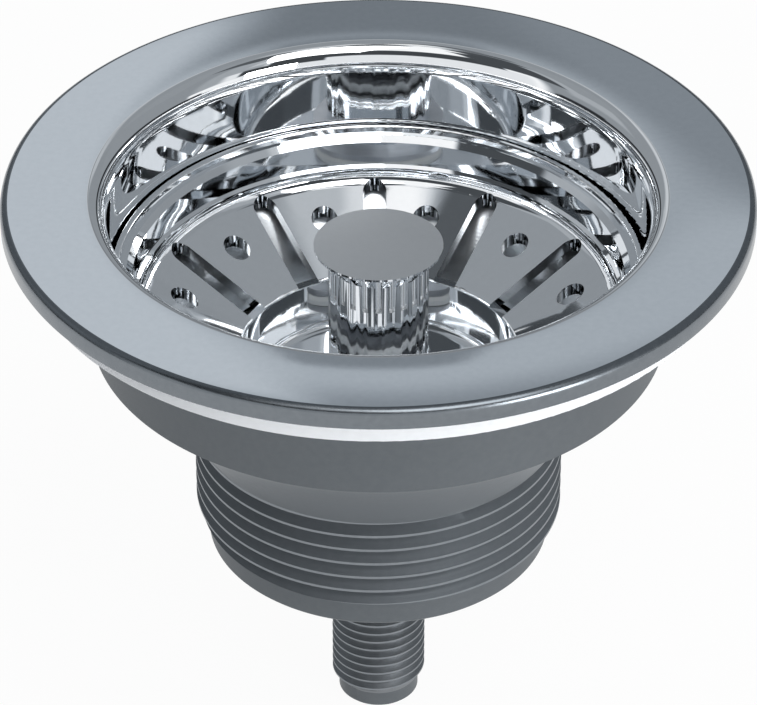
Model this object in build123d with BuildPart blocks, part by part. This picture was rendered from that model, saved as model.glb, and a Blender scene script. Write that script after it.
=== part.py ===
from build123d import *
import os
from math import cos, radians, tan

# Screw-down basket strainer waste for a kitchen sink, in millimetres.
# The origin is on the drain axis, in the plane of the sink deck that the gasket rests on.
# +Z points up, out of the sink.

os.makedirs("parts", exist_ok=True)

# Flange, cast in one with the cup
flange_width = 12.9
flange_thickness = 3.2
flange_edge_radius = 1.15
flange_foot_radius = 0.1
lip_width = 2.9
lip_depth = 4.4

# Cup wall, and the bell that falls with the basket's cone and a little more
cup_bore_radius = 41.0
cup_wall = 3.1
cup_depth = 23.85
bell_drop = 9.57
bell_bulge = 1.0
bell_floor = 1.65

# Coarse outlet thread, drawn as rings, and the plain collar below it
outlet_crest_radius = 28.64
outlet_thread_depth = 1.5
outlet_wall = 2.84
outlet_pitch = 2.6
outlet_crest_width = 0.55
outlet_root_width = 0.35
outlet_groove_count = 6
outlet_first_groove = 1.2
collar_step = 1.9
collar_height = 5.45
outlet_edge_chamfer = 0.5

# Conical seat for the seal at the top of the outlet bore
seat_lift = 2.4
seat_width = 4.3
seat_angle = 45.0

# Spider, a cross that carries the hub in the outlet bore
spider_arm_count = 4
spider_arm_width = 4.0
spider_arm_height = 9.0
spider_arm_turn = 45.0
spider_fit = 0.02
hub_wall = 2.2
hub_height = 13.0
hub_drop = 3.1
hub_edge_chamfer = 0.6

# Sink gasket
gasket_thickness = 4.45
gasket_inset = 3.2
gasket_pilot_step = 0.5
gasket_bore_clearance = 0.2
gasket_edge_radius = 0.15

# Threaded bush in the hub
bush_wall = 2.8
bush_head_overhang = 1.3
bush_head_thickness = 1.0
bush_fit = 0.02

# Basket rim: a bead, a narrow ledge and the skirt outside
rim_clearance = 0.3
rim_bead_width = 1.0
rim_bead_radius = 0.35
rim_step_run = 0.3
rim_step_drop = 0.9
rim_ledge_width = 0.9
rim_skirt = 1.75

# Basket wall and slotted cone
basket_wall = 1.8
basket_wall_inset = 3.05
basket_wall_height = 8.05
basket_foot_radius = 2.6
wall_step_height = 2.2
wall_step_width = 0.45
cone_angle = 27.0

# Recess in the middle of the basket and the shoulder above the seal
recess_clearance = 2.3
recess_wall = 0.6
recess_neck_wall = 1.3
recess_taper = 1.2
recess_edge_radius = 0.7
recess_foot_radius = 1.6
shoulder_inset = 1.1
shoulder_thickness = 1.4
shoulder_neck_height = 2.62

# Slots and holes in the cone of the basket
slot_count = 12
slot_width = 3.75
slot_inner_margin = 1.4
slot_outer_margin = 0.45
slot_turn = 1.0
sill_drop = 0.9
hole_radius = 2.1
hole_margin = 5.75

# Rubber seal below the basket, and the ring that holds it
seal_gap = 0.3
seal_height = 3.4
retainer_height = 1.62
retainer_clearance = 0.4
ring_fit = 0.02

# Plain bush in the floor of the basket
journal_clearance = 0.05
hub_bush_wall = 1.0
hub_bush_flange_width = 2.5
hub_bush_flange_thickness = 0.8
hub_bush_fit = 0.02

# Washers above and below the basket floor
washer_thickness = 1.0
washer_overhang = 3.6
washer_bore_clearance = 0.1
axial_play = 0.1

# Spindle with its long threaded stud
stud_crest_radius = 7.41
stud_running_clearance = 0.05
stud_length = 51.6
stud_tip_step = 1.06
stud_tip_length = 2.95
stud_tip_chamfer = 0.6
journal_step = 1.41
spigot_length = 16.0
spigot_fit = 0.02

# Knob with its fluted grip
knob_rise = 4.2
knob_overhang = 2.17
knob_dome = 0.35
knob_rim_height = 0.7
knob_flare_height = 2.6
stem_wall = 1.7
flute_count = 24
flute_width = 0.95
flute_depth = 0.5
flute_length = 7.2

# Radii and levels of the fixed body
flange_under = gasket_thickness
flange_top = flange_under + flange_thickness
cup_radius = cup_bore_radius + cup_wall
flange_radius = cup_radius + flange_width
gasket_radius = flange_radius - gasket_inset
pilot_radius = cup_radius + gasket_pilot_step
outlet_root_radius = outlet_crest_radius - outlet_thread_depth
outlet_bore_radius = outlet_root_radius - outlet_wall
collar_radius = outlet_crest_radius - collar_step
seat_radius = outlet_bore_radius + seat_width
cone_slope = tan(radians(cone_angle))
seat_slope = tan(radians(seat_angle))
cup_corner = flange_top - cup_depth
neck = cup_corner - bell_drop - (cup_radius - outlet_crest_radius) * cone_slope
inner_bell_top = cup_corner + bell_floor
seat_bottom = neck + seat_lift
seat_top = seat_bottom + seat_width * seat_slope
last_groove = neck - outlet_first_groove - (outlet_groove_count - 1) * outlet_pitch
thread_end = last_groove - outlet_pitch / 2
outlet_end = thread_end - collar_height

# Seal under the basket, whose cone lies parallel to the seat in the body
seal_foot_radius = outlet_bore_radius + seal_gap
seal_bottom = seat_bottom + seal_gap * seat_slope + seal_gap / cos(radians(seat_angle))
seal_top = seal_bottom + seal_height
seal_radius = seal_foot_radius + seal_height / seat_slope
shoulder_radius = seal_radius - shoulder_inset
shoulder_top = seal_top + shoulder_thickness
retainer_radius = outlet_bore_radius - retainer_clearance

# Radii of the basket
recess_outer = outlet_bore_radius - recess_clearance
recess_radius = recess_outer - recess_wall
recess_foot = recess_radius - recess_taper
recess_neck = recess_outer + recess_neck_wall
rim_radius = cup_bore_radius - rim_clearance
rim_inner = rim_radius - rim_bead_width
ledge_outer = rim_inner - rim_step_run
ledge_inner = ledge_outer - rim_ledge_width
basket_radius = rim_radius - basket_wall_inset
basket_outer = basket_radius + basket_wall
foot_radius = basket_radius - wall_step_width
slot_inner_radius = recess_radius + slot_inner_margin
slot_outer_radius = foot_radius - slot_outer_margin
hole_circle_radius = slot_outer_radius - hole_margin

# Levels of the basket, built up from its seal
cone_wall = basket_wall / cos(radians(cone_angle))
neck_top = shoulder_top + shoulder_neck_height
recess_top = neck_top + cone_wall - (recess_neck - recess_radius) * cone_slope
floor_under = seal_bottom - retainer_height
recess_floor = floor_under + basket_wall
basket_foot = recess_top + (foot_radius - recess_radius) * cone_slope
wall_step = basket_foot + wall_step_height
rim_top = basket_foot + basket_wall_height
rim_under = rim_top - rim_skirt
ledge_level = rim_top - rim_step_drop
wall_top = ledge_level - rim_step_drop

# Radii and levels of what turns in the basket floor
journal_radius = stud_crest_radius - journal_step
hub_bush_bore = journal_radius + journal_clearance
hub_bush_radius = hub_bush_bore + hub_bush_wall
hub_bush_top = recess_floor + hub_bush_flange_thickness
washer_bore = journal_radius + washer_bore_clearance
washer_radius = journal_radius + washer_overhang
stud_tip_radius = stud_crest_radius - stud_tip_step
stem_radius = journal_radius + stem_wall
knob_radius = stem_radius + knob_overhang
stem_foot = hub_bush_top + axial_play + washer_thickness
stud_top = floor_under - axial_play - washer_thickness
stud_end = stud_top - stud_length
tip_end = stud_end - stud_tip_length
spigot_top = stem_foot + spigot_length
knob_top = rim_top + knob_rise

# Radii and levels of the hub in the outlet
bush_bore = stud_crest_radius + stud_running_clearance
bush_radius = bush_bore + bush_wall
hub_radius = bush_radius + hub_wall
hub_top = stud_top - hub_drop
hub_end = hub_top - hub_height


def cone_level(radius):
    """Height of the upper face of the basket's cone at a radius."""
    return recess_top + (radius - recess_radius) * cone_slope


def make_ring(inner, outer, low, high):
    """Plain ring about the drain axis, between two levels."""
    with BuildPart() as ring:
        with BuildSketch(Plane.XY.offset(low)):
            Circle(outer)
            Circle(inner, mode=Mode.SUBTRACT)
        extrude(amount=high - low)
    return ring


def save(builder, label):
    """Give the finished piece its name and write it."""
    builder.part.label = label
    export_step(builder.part, f"parts/{label}.step")


# Cast body: flange, cup, bell and outlet neck in one piece
groove_half = (outlet_pitch - outlet_crest_width) / 2

with BuildPart() as waste_body:
    with BuildSketch(Plane.XZ):
        with BuildLine():
            Polyline(
                (0, flange_top),
                (flange_radius, flange_top),
                (flange_radius, flange_under),
                (pilot_radius, flange_under),
                (pilot_radius, 0),
                (cup_radius, 0),
                (cup_radius, cup_corner),
            )
            SagittaArc((cup_radius, cup_corner), (outlet_crest_radius, neck), -bell_bulge)
            Polyline(
                (outlet_crest_radius, neck),
                (outlet_crest_radius, thread_end),
                (collar_radius, thread_end),
                (collar_radius, outlet_end),
                (0, outlet_end),
                (0, flange_top),
            )
        make_face()
    revolve(axis=Axis.Z)

    # The cavity: rolled lip, cup bore, bell, conical seat for the seal and outlet bore
    with BuildSketch(Plane.XZ):
        with BuildLine():
            Line((0, flange_top), (cup_bore_radius + lip_width, flange_top))
            EllipticalCenterArc(
                (cup_bore_radius + lip_width, flange_top - lip_depth),
                lip_width,
                lip_depth,
                start_angle=90,
                arc_size=90,
            )
            Line((cup_bore_radius, flange_top - lip_depth), (cup_bore_radius, inner_bell_top))
            SagittaArc((cup_bore_radius, inner_bell_top), (seat_radius, seat_top), -bell_bulge)
            Polyline(
                (seat_radius, seat_top),
                (outlet_bore_radius, seat_bottom),
                (outlet_bore_radius, outlet_end),
                (0, outlet_end),
                (0, flange_top),
            )
        make_face()
    revolve(axis=Axis.Z, mode=Mode.SUBTRACT)

    # Thread grooves round the outlet
    with BuildSketch(Plane.XZ):
        for turn in range(outlet_groove_count):
            level = neck - outlet_first_groove - turn * outlet_pitch
            with BuildLine():
                Polyline(
                    (outlet_crest_radius, level + groove_half),
                    (outlet_root_radius, level + outlet_root_width / 2),
                    (outlet_root_radius, level - outlet_root_width / 2),
                    (outlet_crest_radius, level - groove_half),
                    (outlet_crest_radius, level + groove_half),
                )
            make_face()
    revolve(axis=Axis.Z, mode=Mode.SUBTRACT)

    round_edges = waste_body.edges().filter_by(GeomType.CIRCLE).filter_by(Plane.XY)
    flange_edges = round_edges.group_by(SortBy.RADIUS)[-1]
    fillet(flange_edges.group_by(Axis.Z)[-1], flange_edge_radius)
    fillet(flange_edges.group_by(Axis.Z)[0], flange_foot_radius)
    chamfer(waste_body.edges().group_by(Axis.Z)[0], outlet_edge_chamfer)
save(waste_body, "waste_body")

# White foam gasket between the flange and the sink deck
with BuildPart() as flange_gasket:
    with BuildSketch():
        Circle(gasket_radius)
        Circle(pilot_radius + gasket_bore_clearance, mode=Mode.SUBTRACT)
    extrude(amount=gasket_thickness)
    foot_edges = flange_gasket.edges().group_by(Axis.Z)[0]
    fillet(foot_edges.sort_by(SortBy.RADIUS)[-1], gasket_edge_radius)
save(flange_gasket, "flange_gasket")

# Spider brazed into the outlet bore: a round hub on four arms
with BuildPart() as outlet_spider:
    with BuildSketch(Plane.XY.offset(hub_end)):
        with PolarLocations(0, spider_arm_count, start_angle=spider_arm_turn):
            Rectangle(outlet_root_radius, spider_arm_width, align=(Align.MIN, Align.CENTER))
        Circle(outlet_bore_radius - spider_fit, mode=Mode.INTERSECT)
    extrude(amount=spider_arm_height)
    with BuildSketch(Plane.XY.offset(hub_end)):
        Circle(hub_radius)
    extrude(amount=hub_height)
    chamfer(outlet_spider.edges().group_by(Axis.Z)[-1], hub_edge_chamfer)
    with BuildSketch(Plane.XY.offset(hub_end)):
        Circle(bush_radius + bush_fit)
    extrude(amount=hub_height, mode=Mode.SUBTRACT)
save(outlet_spider, "outlet_spider")

# Threaded bush pressed into the hub, with a thin head on top
with BuildPart() as threaded_bush:
    with BuildSketch(Plane.XY.offset(hub_end)):
        Circle(bush_radius)
    extrude(amount=hub_height)
    with BuildSketch(Plane.XY.offset(hub_top)):
        Circle(bush_radius + bush_head_overhang)
    extrude(amount=bush_head_thickness)
    with BuildSketch(Plane.XY.offset(hub_end)):
        Circle(bush_bore)
    extrude(amount=hub_height + bush_head_thickness, mode=Mode.SUBTRACT)
save(threaded_bush, "threaded_bush")

# Basket: stepped rim, wall, slotted cone, recess and the shoulder above the seal
basket_outline = [
    (rim_radius, rim_under),
    (rim_radius, rim_top),
    (rim_inner, rim_top),
    (ledge_outer, ledge_level),
    (ledge_inner, ledge_level),
    (basket_radius, wall_top),
    (basket_radius, wall_step),
    (foot_radius, wall_step - wall_step_width),
    (foot_radius, basket_foot),
    (recess_radius, recess_top),
    (recess_foot, recess_floor),
    (hub_bush_radius + hub_bush_fit, recess_floor),
    (hub_bush_radius + hub_bush_fit, floor_under),
    (recess_outer, floor_under),
    (recess_outer, seal_top),
    (shoulder_radius, seal_top),
    (shoulder_radius, shoulder_top),
    (recess_neck, shoulder_top),
    (recess_neck, neck_top),
    (basket_outer, cone_level(basket_outer) - cone_wall),
    (basket_outer, rim_under),
]
basket_corners = [
    ((rim_radius, rim_top), rim_bead_radius),
    ((rim_inner, rim_top), rim_bead_radius),
    ((foot_radius, basket_foot), basket_foot_radius),
    ((basket_outer, cone_level(basket_outer) - cone_wall), basket_foot_radius + basket_wall),
    ((recess_radius, recess_top), recess_edge_radius),
    ((recess_foot, recess_floor), recess_foot_radius),
]
slot_span = slot_outer_radius - slot_inner_radius
slot_low = (shoulder_top + cone_level(slot_inner_radius) - cone_wall) / 2
sill_level = cone_level(slot_inner_radius) - sill_drop

with BuildPart() as strainer_basket:
    with BuildSketch(Plane.XZ) as basket_profile:
        with BuildLine():
            Polyline(*basket_outline, close=True)
        make_face()
        for corner, corner_radius in basket_corners:
            fillet(basket_profile.vertices().sort_by_distance((*corner, 0))[0], corner_radius)
    revolve(axis=Axis.Z)

    # Slots with a round outer end, a lowered sill at their inner end, and a hole between them
    with BuildSketch(Plane.XY.offset(slot_low)):
        with PolarLocations(0, slot_count, start_angle=90 + slot_turn):
            with Locations((slot_inner_radius, 0)):
                Rectangle(
                    slot_span - slot_width / 2, slot_width, align=(Align.MIN, Align.CENTER)
                )
            with Locations((slot_outer_radius - slot_width / 2, 0)):
                Circle(slot_width / 2)
    extrude(amount=wall_step - slot_low, mode=Mode.SUBTRACT)
    with BuildSketch(Plane.XY.offset(sill_level)):
        with PolarLocations(0, slot_count, start_angle=90 + slot_turn):
            with Locations((slot_inner_radius, 0)):
                Rectangle(
                    slot_inner_radius - recess_foot, slot_width, align=(Align.MAX, Align.CENTER)
                )
    extrude(amount=cone_wall, mode=Mode.SUBTRACT)
    with BuildSketch(Plane.XY.offset(slot_low)):
        with PolarLocations(
            hole_circle_radius, slot_count, start_angle=90 + slot_turn + 180 / slot_count
        ):
            Circle(hole_radius)
    extrude(amount=wall_step - slot_low, mode=Mode.SUBTRACT)
save(strainer_basket, "strainer_basket")

# Rubber seal under the shoulder, with a cone that meets the seat
with BuildPart() as drain_seal:
    with BuildSketch(Plane.XZ):
        with BuildLine():
            Polyline(
                (recess_outer + ring_fit, seal_bottom),
                (seal_foot_radius, seal_bottom),
                (seal_radius, seal_top),
                (recess_outer + ring_fit, seal_top),
                close=True,
            )
        make_face()
    revolve(axis=Axis.Z)
save(drain_seal, "drain_seal")

# Ring pressed on below the seal
seal_retainer = make_ring(recess_outer + ring_fit, retainer_radius, floor_under, seal_bottom)
save(seal_retainer, "seal_retainer")

# Flanged plain bush in the basket floor, in which the spindle turns
with BuildPart() as hub_bush:
    with BuildSketch(Plane.XY.offset(floor_under)):
        Circle(hub_bush_radius)
    extrude(amount=hub_bush_top - floor_under)
    with BuildSketch(Plane.XY.offset(recess_floor)):
        Circle(hub_bush_radius + hub_bush_flange_width)
    extrude(amount=hub_bush_flange_thickness)
    with BuildSketch(Plane.XY.offset(floor_under)):
        Circle(hub_bush_bore)
    extrude(amount=hub_bush_top - floor_under, mode=Mode.SUBTRACT)
save(hub_bush, "hub_bush")

# Washers that trap the basket floor between the knob and the stud
upper_washer = make_ring(washer_bore, washer_radius, stem_foot - washer_thickness, stem_foot)
save(upper_washer, "upper_washer")
lower_washer = make_ring(washer_bore, washer_radius, stud_top, stud_top + washer_thickness)
save(lower_washer, "lower_washer")

# Spindle: plain journal and spigot above, long stud with a plain tip below
with BuildPart() as spindle:
    with BuildSketch(Plane.XZ):
        with BuildLine():
            Polyline(
                (0, spigot_top),
                (journal_radius, spigot_top),
                (journal_radius, stud_top),
                (stud_crest_radius, stud_top),
                (stud_crest_radius, stud_end + stud_tip_step),
                (stud_tip_radius, stud_end),
                (stud_tip_radius, tip_end),
                (0, tip_end),
                close=True,
            )
        make_face()
    revolve(axis=Axis.Z)
    chamfer(spindle.edges().group_by(Axis.Z)[0], stud_tip_chamfer)
save(spindle, "spindle")

# Knob and stem in one piece, with a domed top and flutes under its rim
flare_foot = knob_top - knob_rim_height - knob_flare_height
flute_foot = knob_top - knob_rim_height - flute_length
flute_root = stem_radius - flute_depth

with BuildPart() as knob:
    with BuildSketch(Plane.XZ):
        with BuildLine():
            Polyline(
                (0, knob_top),
                (0, stem_foot),
                (stem_radius, stem_foot),
                (stem_radius, flare_foot),
                (knob_radius, knob_top - knob_rim_height),
                (knob_radius, knob_top - knob_dome),
            )
            TangentArc((0, knob_top), (knob_radius, knob_top - knob_dome), tangent=(1, 0))
        make_face()
    revolve(axis=Axis.Z)
    with BuildSketch(Plane.XY.offset(stem_foot)):
        Circle(journal_radius + spigot_fit)
    extrude(amount=spigot_length, mode=Mode.SUBTRACT)
    with BuildSketch(Plane.XY.offset(flute_foot)):
        with PolarLocations(flute_root + flute_width / 2, flute_count):
            Circle(flute_width / 2)
            Rectangle(
                knob_radius - flute_root, flute_width, align=(Align.MIN, Align.CENTER)
            )
    extrude(amount=flute_length, mode=Mode.SUBTRACT)
save(knob, "knob")
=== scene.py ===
from collections import namedtuple
from math import asin, ceil, cos, hypot, pi, radians, sin

import bmesh
import bpy
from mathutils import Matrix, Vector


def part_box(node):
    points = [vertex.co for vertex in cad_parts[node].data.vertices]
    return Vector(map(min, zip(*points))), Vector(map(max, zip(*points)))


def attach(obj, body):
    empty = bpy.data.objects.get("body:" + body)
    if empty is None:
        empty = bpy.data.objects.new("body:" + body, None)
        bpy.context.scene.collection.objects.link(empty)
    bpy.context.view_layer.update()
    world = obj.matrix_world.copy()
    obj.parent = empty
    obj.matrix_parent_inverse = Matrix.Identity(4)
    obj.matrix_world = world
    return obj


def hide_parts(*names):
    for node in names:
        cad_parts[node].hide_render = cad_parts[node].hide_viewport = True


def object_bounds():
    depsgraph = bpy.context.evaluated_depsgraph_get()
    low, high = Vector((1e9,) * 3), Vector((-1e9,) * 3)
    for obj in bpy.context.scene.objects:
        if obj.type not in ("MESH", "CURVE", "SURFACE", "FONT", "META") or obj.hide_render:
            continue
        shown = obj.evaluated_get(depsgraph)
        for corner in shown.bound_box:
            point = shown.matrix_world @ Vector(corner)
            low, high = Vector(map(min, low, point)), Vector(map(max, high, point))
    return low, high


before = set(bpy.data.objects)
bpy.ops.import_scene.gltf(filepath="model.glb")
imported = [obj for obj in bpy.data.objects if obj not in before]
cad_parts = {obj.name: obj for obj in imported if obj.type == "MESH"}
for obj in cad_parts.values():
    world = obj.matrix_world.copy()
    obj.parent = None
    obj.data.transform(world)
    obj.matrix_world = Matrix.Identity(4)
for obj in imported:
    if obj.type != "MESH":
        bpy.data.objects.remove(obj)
cad_low, cad_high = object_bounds()

# Lengths are in metres. The origin is on the drain axis, at the lower face of the sink gasket.
MM = 0.001

# Camera, fitted to the coaxial circles of the photograph
IMAGE_WIDTH = 757
FOCAL_PX = 4560
SENSOR = 36
PITCH_DOWN = 35.053
CAMERA_PLACE = (0, -0.57646, 0.38221)
CAMERA_NEAR = 0.01
CAMERA_FAR = 20

# Round pieces have this many steps in a full turn. It starts at the right, goes round by the
# back, and comes to the front after this share.
TURN_STEPS = 256
FRONT_SHARE = 0.75

# Points closer than this are merged, and an edge sharper than this stays sharp
MERGE_DISTANCE = 0.001 * MM
SHARP_ANGLE = radians(32)

# Cast body, read from the CAD boxes where they give the size
body_low, body_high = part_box("waste_body")
_, gasket_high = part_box("flange_gasket")
FLANGE_RADIUS = body_high.x
FLANGE_TOP = body_high.z
FLANGE_UNDER = gasket_high.z
FLANGE_EDGE = 1.15 * MM
FLANGE_FOOT = 0.1 * MM
OUTLET_END = body_low.z
CUP_BORE = 41.0 * MM
CUP_WALL = 3.1 * MM
CUP_CORNER = -16.2 * MM
PILOT_STEP = 0.5 * MM
LIP_WIDTH = 2.9 * MM
LIP_DEPTH = 4.4 * MM
NECK = -33.647 * MM
BELL_BULGE = 1.0 * MM
BELL_FLOOR = 1.65 * MM
BELL_FOOT = (28.6 * MM, -26.947 * MM)
SEAT_FOOT = (24.3 * MM, -31.247 * MM)
COLLAR_RADIUS = 26.74 * MM
THREAD_END = -49.147 * MM
EDGE_CHAMFER = 0.5 * MM

# Steps of the rounded stretches of its outline
FLANGE_EDGE_STEPS = 10
FLANGE_FOOT_STEPS = 5
LIP_STEPS = 24
BELL_STEPS = 16
BELL_INSIDE_STEPS = 12

# Right-hand thread of one start: the radii of its crest and root, its pitch, the level of a crest
# at the front, and the height over which it fades in. Its profile goes down one pitch from a
# crest, in shares of the pitch and of the depth.
Thread = namedtuple("Thread", "crest root pitch front_crest run_out profile")
OUTLET_THREAD = Thread(
    crest=28.64 * MM,
    root=27.14 * MM,
    pitch=2.6 * MM,
    front_crest=-36.21 * MM,
    run_out=1.2 * MM,
    profile=[
        (0.0, 0.0), (0.08, 0.0), (0.105, 0.06), (0.43, 0.95), (0.46, 1.0), (0.54, 1.0),
        (0.57, 0.95), (0.895, 0.06), (0.92, 0.0),
    ],
)

# Spindle, with the thread of its stud
spindle_low, spindle_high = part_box("spindle")
STUD_DEPTH = 0.8 * MM
STUD_THREAD = Thread(
    crest=spindle_high.x,
    root=spindle_high.x - STUD_DEPTH,
    pitch=1.6 * MM,
    front_crest=-70.41 * MM,
    run_out=0.4 * MM,
    profile=[
        (0.0, 0.0), (0.09, 0.0), (0.13, 0.1), (0.42, 0.94), (0.46, 1.0), (0.54, 1.0),
        (0.58, 0.94), (0.87, 0.1), (0.91, 0.0),
    ],
)
STUD_TOP = -33.243 * MM
JOURNAL_STEP = 1.41 * MM
TIP_STEP = 1.06 * MM
TIP_LENGTH = 2.95 * MM
TIP_CHAMFER = 0.6 * MM

# Turns that a thread's grid has to spare, at its two ends together
SPARE_TURNS = 4

# Fine unevenness of every surface: the noise's scale per metre, its detail, the shares of it
# between which the colour changes, its share of the roughness, and the strength of its relief
GRAIN_SCALE = 900
GRAIN_DETAIL = 4
GRAIN_RANGE = (0.3, 0.7)
POLISH_SPREAD = 0.15
GRAIN_STRENGTH = 0.2

# Turned rings, in the same terms
RING_SCALE = 700
RING_DISTORTION = 0.6
RING_DETAIL = 2
RING_STRENGTH = 0.25

# Upright polishing marks. They are as strong as this on an upright face, and end where the
# normal's height reaches this limit.
MARK_SCALE = 4
MARK_DETAIL = 1
MARK_STRENGTH = 0.9
MARK_LIMIT = 0.5

# A face starts to count as level at the first height of its normal, and is level at the second.
# Level faces get more roughness and a darker colour as painted shade.
LEVEL_RANGE = (0.94, 0.98)

# Floor, just below the tip of the spindle. The camera and reflections see it nearly white.
FLOOR_GAP = 0.05 * MM
FLOOR_HALF = 4.0
FLOOR_COLOUR = (0.95, 0.95, 0.95, 1)
FLOOR_ROUGHNESS = 0.9
FLOOR_WHITE = 0.95

# Grey cards round the set, seen only by reflections. Each fades out at its edges, and it covers
# the cards above it in the list. Angles are in degrees: azimuth from behind the object towards
# its right, elevation up from the floor. A card of the largest half width goes all the way round.
ALL_ROUND = 180
CARDS = [
    # azimuth, elevation, half width, half height, soft sides, soft ends, tone
    (0, 45, 112, 60, 8, 8, 0.29),
    (-75, 55, 22, 35, 8, 8, 0.41),
    (115, 50, 20, 40, 8, 8, 0.38),
    (0, 90, ALL_ROUND, 11, 1, 4, 0.27),
    (57, 56, 26, 18, 4, 4, 0.305),
    (-57, 56, 26, 18, 4, 4, 0.305),
    (-62, 73, 14, 8, 4, 4, 0.10),
    (-30, 80, 14, 12, 3, 3, 0.10),
    (-112, 84, 18, 8, 3, 3, 0.90),
    (65, 80, 20, 12, 4, 4, 0.50),
    (98, 82, 12, 10, 3, 3, 0.95),
    (98, 66, 24, 10, 3, 3, 0.10),
    (-100, 68, 22, 9, 3, 3, 0.08),
    (-51, 86, 23, 12, 3, 8, 1.00),
    (50, 88, 16, 7.5, 3, 3, 0.75),
    (150, 84, 25, 8, 3, 3, 0.08),
    (180, 16, 70, 16, 6, 4, 0.82),
    (-167, 38.5, 44, 11.5, 2.5, 2.5, 0.06),
    (138, 46, 20, 9, 4, 6, 0.55),
    (127, 24, 7.5, 9, 2, 3, 0.05),
    (139, 29, 8, 14, 2, 3, 0.06),
    (151, 34, 8, 17, 2, 3, 0.06),
    (-114, 50, 24, 18, 4, 4, 0.07),
    (132, 62, 22, 14, 5, 5, 0.42),
    (180, 84, 40, 7, 3, 3, 0.08),
    (-90, 4, 14, 7.5, 3, 3, 0.04),
    (110, 9.5, 14, 5.5, 3, 2, 0.95),
    (0, 29, 22, 13, 5, 5, 0.48),
    (-9, 34, 8, 9, 3, 3, 0.60),
    (15, 22, 20, 12, 3, 3, 0.22),
    (21, 22, 19, 12, 3, 3, 0.28),
    (0, 34, 2.0, 1.6, 0.5, 0.5, 0.26),
    (0, 5, 105, 3, 1, 1, 0.03),
]
CARD_DISTANCE = 1.5
CARD_TINT = 0.10

# They are painted on one dome, which stops just short of straight up
DOME_COLUMNS = 720
DOME_ROWS = 180
DOME_TOP = 89.5

# Softboxes, both to the right of the front: one low, and one above
SOFTBOXES = [
    # name, azimuth, elevation, distance, width, height, watts
    ("side_softbox", 135, 6, 0.9, 0.35, 0.5, 4.5),
    ("top_softbox", 150, 60, 1.0, 0.6, 0.6, 3.0),
]

# Soft light from all round, which is stronger from the right than from the left
SKY_COLOUR = (0.95, 0.97, 1.0, 1)
SKY_LEFT = 0.32
SKY_RIGHT = 0.64
WHITE = (1, 1, 1, 1)


# Meshes

def link(name, data):
    """New object in the scene from a mesh, lamp or camera."""
    piece = bpy.data.objects.new(name, data)
    bpy.context.scene.collection.objects.link(piece)
    return piece


def around(step):
    """Cosine and sine of one step of the full turn."""
    angle = 2 * pi * step / TURN_STEPS
    return cos(angle), sin(angle)


def bridge(bm, ring_a, ring_b, slot):
    """Faces between two rings of corners."""
    for step in range(TURN_STEPS):
        after = (step + 1) % TURN_STEPS
        face = bm.faces.new((ring_a[step], ring_a[after], ring_b[after], ring_b[step]))
        face.material_index = slot


def lathe(bm, outline, slot):
    """Turned surface from an outline of (radius, height) points; returns its first and last rings."""
    rings = []
    for radius, height in outline:
        rings.append(
            [bm.verts.new((radius * x, radius * y, height)) for x, y in map(around, range(TURN_STEPS))]
        )
    for ring_a, ring_b in zip(rings, rings[1:]):
        bridge(bm, ring_a, ring_b, slot)
    return rings[0], rings[-1]


def arc(centre, radii, start, end, steps):
    """Points of an elliptical arc between two angles in degrees."""
    points = []
    for step in range(steps + 1):
        angle = radians(start + (end - start) * step / steps)
        points.append((centre[0] + radii[0] * cos(angle), centre[1] + radii[1] * sin(angle)))
    return points


def bulged(start, end, bulge, steps):
    """Points of a circular arc that bulges by this much to the left of the way from start to end."""
    run, rise = end[0] - start[0], end[1] - start[1]
    chord = hypot(run, rise)
    radius = (chord * chord / 4 + bulge * bulge) / (2 * abs(bulge))
    half = asin(chord / 2 / radius)
    side = 1 if bulge > 0 else -1
    points = []
    for step in range(steps + 1):
        turn = half * (2 * step / steps - 1)
        along = 0.5 + radius * sin(turn) / chord
        aside = side * (radius * cos(turn) - radius * cos(half)) / chord
        points.append((start[0] + run * along - rise * aside, start[1] + rise * along + run * aside))
    return points


def profile_depth(profile, share):
    """Share of a thread's depth at a share of its pitch."""
    corners = profile + [(1.0, profile[0][1])]
    for (share_a, depth_a), (share_b, depth_b) in zip(corners, corners[1:]):
        if share <= share_b:
            return depth_a + (depth_b - depth_a) * (share - share_a) / (share_b - share_a)
    return profile[0][1]


def screw_thread(bm, thread, upper, lower, slots):
    """Thread about the drain axis, on a grid that follows its helix.

    The groove fades in below upper and is cut off square at lower. slots are the material slots
    of the flanks and of the crest. Returns the ring of corners at lower.
    """
    profile, pitch = thread.profile, thread.pitch
    rows = len(profile)
    turns = int((upper - lower) / pitch) + SPARE_TURNS
    # The first column starts at or above upper, and the helix reaches front_crest at the front
    ahead = ceil((upper - thread.front_crest) / pitch + FRONT_SHARE) - FRONT_SHARE
    start = thread.front_crest + pitch * ahead
    columns = []
    for step in range(TURN_STEPS):
        x, y = around(step)
        first = start + pitch * step / TURN_STEPS
        column = []
        for row in range(turns * rows):
            share, depth = profile[row % rows]
            level = first - pitch * (row // rows + share)
            if not lower < level < upper:
                level = min(max(level, lower), upper)
                depth = profile_depth(profile, (first - level) / pitch % 1)
            depth *= min(1, (upper - level) / thread.run_out)
            radius = thread.crest - (thread.crest - thread.root) * depth
            column.append(bm.verts.new((radius * x, radius * y, level)))
        columns.append(column)
    for step in range(TURN_STEPS):
        wrap = rows if step == TURN_STEPS - 1 else 0
        column, after = columns[step], columns[(step + 1) % TURN_STEPS]
        for row in range(wrap, turns * rows - 1):
            face = bm.faces.new(
                (column[row], column[row + 1], after[row + 1 - wrap], after[row - wrap])
            )
            on_crest = profile[row % rows][1] == profile[(row + 1) % rows][1] == 0
            face.material_index = slots[on_crest]
    return [column[-1] for column in columns]


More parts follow.
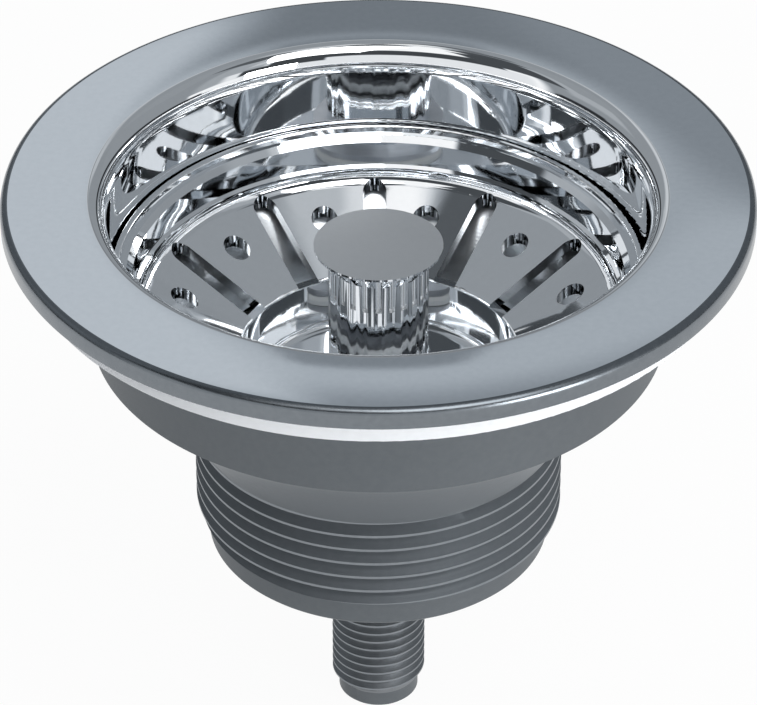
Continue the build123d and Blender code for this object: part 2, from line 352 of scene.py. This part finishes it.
def finish_mesh(name, bm, materials):
    """Clean a bmesh, shade it smooth apart from its sharp edges, and give it its materials."""
    bmesh.ops.remove_doubles(bm, verts=bm.verts, dist=MERGE_DISTANCE)
    bmesh.ops.recalc_face_normals(bm, faces=bm.faces)
    mesh = bpy.data.meshes.new(name)
    bm.to_mesh(mesh)
    bm.free()
    mesh.shade_smooth()
    mesh.set_sharp_from_angle(angle=SHARP_ANGLE)
    for material in materials:
        mesh.materials.append(material)
    return link(name, mesh)


# Materials

def new_material(name):
    """Node material with its node tree and principled shader."""
    material = bpy.data.materials.new(name)
    material.use_nodes = True
    return material, material.node_tree, material.node_tree.nodes["Principled BSDF"]


def add_node(tree, kind, values=None, **settings):
    """New shader node with its settings, and with values for its inputs by name or number."""
    node = tree.nodes.new("ShaderNode" + kind)
    for setting, value in settings.items():
        setattr(node, setting, value)
    for socket, value in (values or {}).items():
        node.inputs[socket].default_value = value
    return node


def between(tree, number, ends, values):
    """Number that goes from the first value to the second while another goes from end to end."""
    blend = add_node(
        tree,
        "MapRange",
        {"From Min": ends[0], "From Max": ends[1], "To Min": values[0], "To Max": values[1]},
    )
    tree.links.new(number, blend.inputs["Value"])
    return blend.outputs["Result"]


def normal_height(tree):
    """Height of the surface normal: 0 on an upright face, and 1 on a level one that looks up."""
    surface = add_node(tree, "NewGeometry")
    sides = add_node(tree, "SeparateXYZ")
    tree.links.new(surface.outputs["Normal"], sides.inputs[0])
    return sides.outputs["Z"]


def raised(tree, pattern, height, strength, below=None):
    """Bump node for a pattern of this height, which lies on the relief of another one."""
    relief = add_node(tree, "Bump", {"Distance": height, "Strength": strength})
    tree.links.new(pattern, relief.inputs["Height"])
    if below is not None:
        tree.links.new(below.outputs["Normal"], relief.inputs["Normal"])
    return relief


def turned_rings(tree, place, height, below):
    """Faint rings round the drain axis."""
    wave = add_node(
        tree,
        "TexWave",
        {"Scale": RING_SCALE, "Distortion": RING_DISTORTION, "Detail": RING_DETAIL},
        bands_direction="Z",
    )
    tree.links.new(place, wave.inputs["Vector"])
    return raised(tree, wave.outputs["Fac"], height, RING_STRENGTH, below)


def upright_marks(tree, place, height, below):
    """Polishing marks that run up and down the upright faces round the drain axis."""
    flat = add_node(tree, "VectorMath", {1: (1, 1, 0)}, operation="MULTIPLY")
    tree.links.new(place, flat.inputs[0])
    outward = add_node(tree, "VectorMath", operation="NORMALIZE")
    tree.links.new(flat.outputs[0], outward.inputs[0])
    streaks = add_node(tree, "TexNoise", {"Scale": MARK_SCALE, "Detail": MARK_DETAIL})
    tree.links.new(outward.outputs[0], streaks.inputs["Vector"])
    marks = raised(tree, streaks.outputs["Fac"], height, MARK_STRENGTH, below)
    strength = between(tree, normal_height(tree), (0, MARK_LIMIT), (MARK_STRENGTH, 0))
    tree.links.new(strength, marks.inputs["Strength"])
    return marks


def fine_surface(
    name, dark, light, roughness, metallic=1.0, bump=0.02 * MM, rings=0.0, marks=0.0, level=None
):
    """Material with a colour between two close tones and a fine uneven polish.

    bump is the height of that unevenness, rings that of turned rings and marks that of upright
    polishing marks. level is the least roughness of level faces that look up, and the painted
    shade that darkens their colour.
    """
    material, tree, shader = new_material(name)
    place = add_node(tree, "TexCoord").outputs["Object"]
    cloud = add_node(tree, "TexNoise", {"Scale": GRAIN_SCALE, "Detail": GRAIN_DETAIL})
    tree.links.new(place, cloud.inputs["Vector"])
    grain = cloud.outputs["Fac"]
    ramp = add_node(tree, "ValToRGB")
    for element, position, tone in zip(ramp.color_ramp.elements, GRAIN_RANGE, (dark, light)):
        element.position = position
        element.color = (*tone, 1)
    tree.links.new(grain, ramp.inputs["Fac"])
    colour = ramp.outputs["Color"]
    smoother, rougher = roughness * (1 - POLISH_SPREAD), roughness * (1 + POLISH_SPREAD)
    polish = between(tree, grain, (0, 1), (smoother, rougher))
    if level:
        level_roughness, painted_level_shade = level
        satin = add_node(tree, "Math", operation="MAXIMUM")
        tree.links.new(polish, satin.inputs[0])
        least = between(tree, normal_height(tree), LEVEL_RANGE, (0, level_roughness))
        tree.links.new(least, satin.inputs[1])
        polish = satin.outputs[0]
        # Painted shade: level faces that look up get a darker colour
        shaded = add_node(tree, "VectorMath", operation="SCALE")
        tree.links.new(colour, shaded.inputs[0])
        shade = between(tree, normal_height(tree), LEVEL_RANGE, (1, painted_level_shade))
        tree.links.new(shade, shaded.inputs["Scale"])
        colour = shaded.outputs[0]
    relief = raised(tree, grain, bump, GRAIN_STRENGTH)
    if rings:
        relief = turned_rings(tree, place, rings, relief)
    if marks:
        relief = upright_marks(tree, place, marks, relief)
    tree.links.new(colour, shader.inputs["Base Color"])
    tree.links.new(polish, shader.inputs["Roughness"])
    tree.links.new(relief.outputs["Normal"], shader.inputs["Normal"])
    shader.inputs["Metallic"].default_value = metallic
    return material


def seen_share(tree, share):
    """Share for camera, glossy and transmission rays, and 0 for the rays that light the object."""
    path = add_node(tree, "LightPath")
    total = path.outputs["Is Camera Ray"]
    for ray in ("Is Glossy Ray", "Is Transmission Ray"):
        either = add_node(tree, "Math", operation="MAXIMUM")
        tree.links.new(total, either.inputs[0])
        tree.links.new(path.outputs[ray], either.inputs[1])
        total = either.outputs[0]
    part = add_node(tree, "Math", {1: share}, operation="MULTIPLY")
    tree.links.new(total, part.inputs[0])
    return part.outputs[0]


def mixed(tree, share, first, second):
    """Mix of two shaders, with this share of the second."""
    mix = add_node(tree, "MixShader")
    for socket, source in enumerate((share, first, second)):
        tree.links.new(source, mix.inputs[socket])
    return mix.outputs[0]


flange_metal = fine_surface(
    "flange_metal", (0.75, 0.80, 0.85), (0.78, 0.83, 0.88), 0.05, bump=0.004 * MM
)
# Painted shade: the flange's rounded edge and foot get a dark copy of the flange metal
painted_shade_edge_metal = fine_surface("painted_shade_edge_metal", (0.19, 0.21, 0.23), (0.21, 0.23, 0.25), 0.25)
# Painted shade: the outside below the flange is the same metal as the flange face, given a dark colour
# here
painted_shade_outer_metal = fine_surface(
    "painted_shade_outer_metal", (0.118, 0.132, 0.144), (0.132, 0.146, 0.158), 0.5, metallic=0.6, rings=0.02 * MM
)
# Painted shade and painted light: the bell and the outlet thread's flanks get the outside's dark
# metal, made a little lighter to stand in for light from the floor below
painted_shade_bell_metal = fine_surface(
    "painted_shade_bell_metal", (0.155, 0.172, 0.187), (0.170, 0.187, 0.203), 0.5, metallic=0.6, rings=0.02 * MM
)
# Painted highlight: the thread crests of the outlet and the stud get a lighter copy of the metal
# around them
painted_highlight_crest_metal = fine_surface(
    "painted_highlight_crest_metal", (0.22, 0.24, 0.26), (0.25, 0.27, 0.29), 0.4, metallic=0.85
)
inner_metal = fine_surface(
    "inner_metal", (0.82, 0.85, 0.88), (0.86, 0.89, 0.92), 0.30, rings=0.02 * MM
)
cup_metal = fine_surface(
    "cup_metal", (0.92, 0.935, 0.95), (0.94, 0.955, 0.97), 0.03, bump=0.003 * MM
)
basket_metal = fine_surface(
    "basket_metal", (0.90, 0.92, 0.94), (0.92, 0.94, 0.96), 0.04, bump=0.003 * MM
)
# The knob's top faces get more roughness, and a darker colour as painted shade
knob_metal = fine_surface(
    "knob_metal", (0.90, 0.92, 0.94), (0.92, 0.94, 0.96), 0.04,
    bump=0.003 * MM, marks=0.6 * MM, level=(0.4, 0.75),
)
stud_metal = fine_surface(
    "stud_metal", (0.20, 0.215, 0.23), (0.22, 0.235, 0.25), 0.42, metallic=0.85
)
plain_steel = fine_surface("plain_steel", (0.55, 0.57, 0.60), (0.60, 0.62, 0.65), 0.3)
brass = fine_surface("brass", (0.62, 0.46, 0.20), (0.66, 0.50, 0.24), 0.25)
foam = fine_surface(
    "foam", (0.90, 0.92, 0.94), (0.93, 0.95, 0.97), 0.75, metallic=0.0, bump=0.1 * MM
)
rubber = fine_surface("rubber", (0.018, 0.018, 0.02), (0.03, 0.03, 0.033), 0.6, metallic=0.0)
plastic = fine_surface("plastic", (0.80, 0.81, 0.80), (0.84, 0.85, 0.84), 0.45, metallic=0.0)

# waste_body and outlet_spider get the dark outside metal, which is painted shade
finish_of = {
    "waste_body": painted_shade_outer_metal,
    "outlet_spider": painted_shade_outer_metal,
    "flange_gasket": foam,
    "threaded_bush": brass,
    "strainer_basket": basket_metal,
    "drain_seal": rubber,
    "seal_retainer": plain_steel,
    "hub_bush": plastic,
    "knob": knob_metal,
    "spindle": stud_metal,
    "upper_washer": plain_steel,
    "lower_washer": plain_steel,
}
for node, finish in finish_of.items():
    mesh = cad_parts[node].data
    mesh.materials.clear()
    mesh.materials.append(finish)

# Cast body: plated flange, polished from the lip down the cup, satin below the flange. Its outside and
# the flange's rounded edge are dark as painted shade, the bell less dark as painted light from below,
# and the thread crests lighter as painted highlights.
body_finishes = [
    painted_shade_outer_metal, flange_metal, cup_metal, painted_highlight_crest_metal, painted_shade_edge_metal, inner_metal, painted_shade_bell_metal
]
OUTSIDE, FLANGE_FACE, POLISHED, CREST, EDGE, INSIDE, BELL = range(len(body_finishes))
lip_start = CUP_BORE + LIP_WIDTH
cup_radius = CUP_BORE + CUP_WALL
bore_end = SEAT_FOOT[0]
body = bmesh.new()
flange_edge = arc(
    (FLANGE_RADIUS - FLANGE_EDGE, FLANGE_TOP - FLANGE_EDGE), (FLANGE_EDGE, FLANGE_EDGE),
    90, 0, FLANGE_EDGE_STEPS,
)
lathe(body, [(lip_start, FLANGE_TOP), flange_edge[0]], FLANGE_FACE)
lip = arc((lip_start, FLANGE_TOP - LIP_DEPTH), (LIP_WIDTH, LIP_DEPTH), 90, 180, LIP_STEPS)
bell_top = (CUP_BORE, CUP_CORNER + BELL_FLOOR)
lathe(body, lip + [bell_top], POLISHED)
bell_inside = bulged(bell_top, BELL_FOOT, -BELL_BULGE, BELL_INSIDE_STEPS)
lathe(body, bell_inside + [SEAT_FOOT, (bore_end, OUTLET_END + EDGE_CHAMFER)], INSIDE)
flange_foot = arc(
    (FLANGE_RADIUS - FLANGE_FOOT, FLANGE_UNDER + FLANGE_FOOT), (FLANGE_FOOT, FLANGE_FOOT),
    0, -90, FLANGE_FOOT_STEPS,
)
lathe(body, flange_edge + flange_foot, EDGE)
outer_outline = [
    flange_foot[-1],
    (cup_radius + PILOT_STEP, FLANGE_UNDER),
    (cup_radius + PILOT_STEP, 0),
    (cup_radius, 0),
    (cup_radius, CUP_CORNER),
]
lathe(body, outer_outline, OUTSIDE)
neck_edge = (OUTLET_THREAD.crest, NECK)
lathe(body, bulged((cup_radius, CUP_CORNER), neck_edge, -BELL_BULGE, BELL_STEPS), BELL)
thread_ring = screw_thread(body, OUTLET_THREAD, NECK, THREAD_END, (BELL, CREST))
collar_outline = [
    (COLLAR_RADIUS, THREAD_END),
    (COLLAR_RADIUS, OUTLET_END + EDGE_CHAMFER),
    (COLLAR_RADIUS - EDGE_CHAMFER, OUTLET_END),
    (bore_end + EDGE_CHAMFER, OUTLET_END),
    (bore_end, OUTLET_END + EDGE_CHAMFER),
]
collar_ring, _ = lathe(body, collar_outline, OUTSIDE)
bridge(body, thread_ring, collar_ring, OUTSIDE)
cast_body = finish_mesh("cast_body", body, body_finishes)
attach(cast_body, "fixed_waste")
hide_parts("waste_body")

# Spindle: plain journal above, threaded stud, plain tip
# The stud's crests are lighter as painted highlights, and the tip has the outside's dark metal as
# painted shade
spindle_finishes = [stud_metal, painted_highlight_crest_metal, painted_shade_outer_metal]
STUD, STUD_EDGE, TIP = range(len(spindle_finishes))
journal_radius = STUD_THREAD.crest - JOURNAL_STEP
tip_radius = STUD_THREAD.crest - TIP_STEP
tip_start = spindle_low.z + TIP_LENGTH
turned = bmesh.new()
journal_outline = [
    (0, spindle_high.z),
    (journal_radius, spindle_high.z),
    (journal_radius, STUD_TOP),
    (STUD_THREAD.crest, STUD_TOP),
]
lathe(turned, journal_outline, STUD)
stud_ring = screw_thread(
    turned, STUD_THREAD, STUD_TOP, tip_start + TIP_STEP, (STUD, STUD_EDGE)
)
tip_outline = [
    (tip_radius, tip_start),
    (tip_radius, spindle_low.z + TIP_CHAMFER),
    (tip_radius - TIP_CHAMFER, spindle_low.z),
    (0, spindle_low.z),
]
tip_ring, _ = lathe(turned, tip_outline, TIP)
bridge(turned, stud_ring, tip_ring, STUD)
turned_spindle = finish_mesh("turned_spindle", turned, spindle_finishes)
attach(turned_spindle, "spindle_unit")
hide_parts("spindle")

# Camera
camera_data = bpy.data.cameras.new("camera")
camera_data.sensor_width = SENSOR
camera_data.lens = FOCAL_PX * SENSOR / IMAGE_WIDTH
camera_data.clip_start = CAMERA_NEAR
camera_data.clip_end = CAMERA_FAR
camera = link("camera", camera_data)
camera.location = CAMERA_PLACE
camera.rotation_euler = (radians(90 - PITCH_DOWN), 0, 0)
bpy.context.scene.camera = camera

# Floor. It is open from below, so that the underside of the part shows there.
floor_level = cad_low.z - FLOOR_GAP
floor_corners = [(-FLOOR_HALF, -FLOOR_HALF, floor_level), (FLOOR_HALF, -FLOOR_HALF, floor_level),
                 (FLOOR_HALF, FLOOR_HALF, floor_level), (-FLOOR_HALF, FLOOR_HALF, floor_level)]
floor_mesh = bpy.data.meshes.new("studio_floor")
floor_mesh.from_pydata(floor_corners, [], [(0, 1, 2, 3)])
floor_material, floor_tree, floor_shader = new_material("floor_paint")
floor_shader.inputs["Base Color"].default_value = FLOOR_COLOUR
floor_shader.inputs["Roughness"].default_value = FLOOR_ROUGHNESS
floor_glow = add_node(floor_tree, "Emission")
floor_above = mixed(
    floor_tree, seen_share(floor_tree, FLOOR_WHITE), floor_shader.outputs[0], floor_glow.outputs[0]
)
floor_side = add_node(floor_tree, "NewGeometry")
floor_open = add_node(floor_tree, "BsdfTransparent")
floor_faces = mixed(
    floor_tree, floor_side.outputs["Backfacing"], floor_above, floor_open.outputs[0]
)
floor_tree.links.new(floor_faces, floor_tree.nodes["Material Output"].inputs["Surface"])
floor_mesh.materials.append(floor_material)
studio_floor = link("studio_floor", floor_mesh)


# Cards

def direction(azimuth, elevation, distance):
    """Point at a distance from the origin, in the direction of an azimuth and elevation in degrees."""
    azimuth, elevation = radians(azimuth), radians(elevation)
    flat = distance * cos(elevation)
    return flat * sin(azimuth), flat * cos(azimuth), distance * sin(elevation)


def studio_tone(azimuth, elevation):
    """Grey that reflections see in a direction: white, covered by one card after another."""
    grey = 1
    for middle, height, half_width, half_height, soft_sides, soft_ends, tone in CARDS:
        share = (half_height - abs(elevation - height)) / soft_ends
        if half_width < ALL_ROUND:
            across = abs((azimuth - middle + 180) % 360 - 180)
            share = min(share, (half_width - across) / soft_sides)
        share = min(1, max(0, share))
        eased = share * share * (3 - 2 * share)
        grey += (tone - grey) * eased
    return grey


card_points, card_faces, card_greys = [], [], []
for row in range(DOME_ROWS + 1):
    elevation = DOME_TOP * row / DOME_ROWS
    for column in range(DOME_COLUMNS):
        azimuth = 360 * column / DOME_COLUMNS
        card_points.append(direction(azimuth, elevation, CARD_DISTANCE))
        card_greys.append(studio_tone(azimuth, elevation))
for row in range(DOME_ROWS):
    for column in range(DOME_COLUMNS):
        after = (column + 1) % DOME_COLUMNS
        low, high = row * DOME_COLUMNS, (row + 1) * DOME_COLUMNS
        card_faces.append((low + column, low + after, high + after, high + column))
card_mesh = bpy.data.meshes.new("studio_cards")
card_mesh.from_pydata(card_points, [], card_faces)
grey_layer = card_mesh.color_attributes.new("grey", "FLOAT_COLOR", "POINT")
for corner, grey in zip(grey_layer.data, card_greys):
    tint = CARD_TINT * (1 - grey)
    corner.color = (grey * (1 - tint), grey, grey * (1 + tint), 1)
card_material, card_tree, _ = new_material("card_paint")
card_grey = add_node(card_tree, "Attribute", attribute_name="grey")
card_glow = add_node(card_tree, "Emission")
card_tree.links.new(card_grey.outputs["Color"], card_glow.inputs["Color"])
card_tree.links.new(card_glow.outputs[0], card_tree.nodes["Material Output"].inputs["Surface"])
card_mesh.materials.append(card_material)
studio_cards = link("studio_cards", card_mesh)
studio_cards.visible_camera = False
studio_cards.visible_diffuse = False
studio_cards.visible_shadow = False
studio_cards.visible_transmission = False

# Lamps
for name, azimuth, elevation, distance, width, height, watts in SOFTBOXES:
    lamp_data = bpy.data.lights.new(name, "AREA")
    lamp_data.shape = "RECTANGLE"
    lamp_data.size = width
    lamp_data.size_y = height
    lamp_data.energy = watts
    lamp = link(name, lamp_data)
    lamp.location = direction(azimuth, elevation, distance)
    lamp.rotation_euler = (radians(90 - elevation), 0, radians(180 - azimuth))

# World: soft light, and white where the camera or a reflection sees it
world = bpy.data.worlds.new("studio")
world.use_nodes = True
sky_tree = world.node_tree
sky_place = add_node(sky_tree, "TexCoord")
sky_sides = add_node(sky_tree, "SeparateXYZ")
sky_tree.links.new(sky_place.outputs["Generated"], sky_sides.inputs[0])
soft_light = sky_tree.nodes["Background"]
soft_light.inputs["Color"].default_value = SKY_COLOUR
soft_strength = between(sky_tree, sky_sides.outputs["X"], (-1, 1), (SKY_LEFT, SKY_RIGHT))
sky_tree.links.new(soft_strength, soft_light.inputs["Strength"])
white_sky = add_node(sky_tree, "Background", {"Color": WHITE})
sky = mixed(sky_tree, seen_share(sky_tree, 1), soft_light.outputs[0], white_sky.outputs[0])
sky_tree.links.new(sky, sky_tree.nodes["World Output"].inputs["Surface"])
bpy.context.scene.world = world
bpy.context.scene.view_settings.view_transform = "Standard"
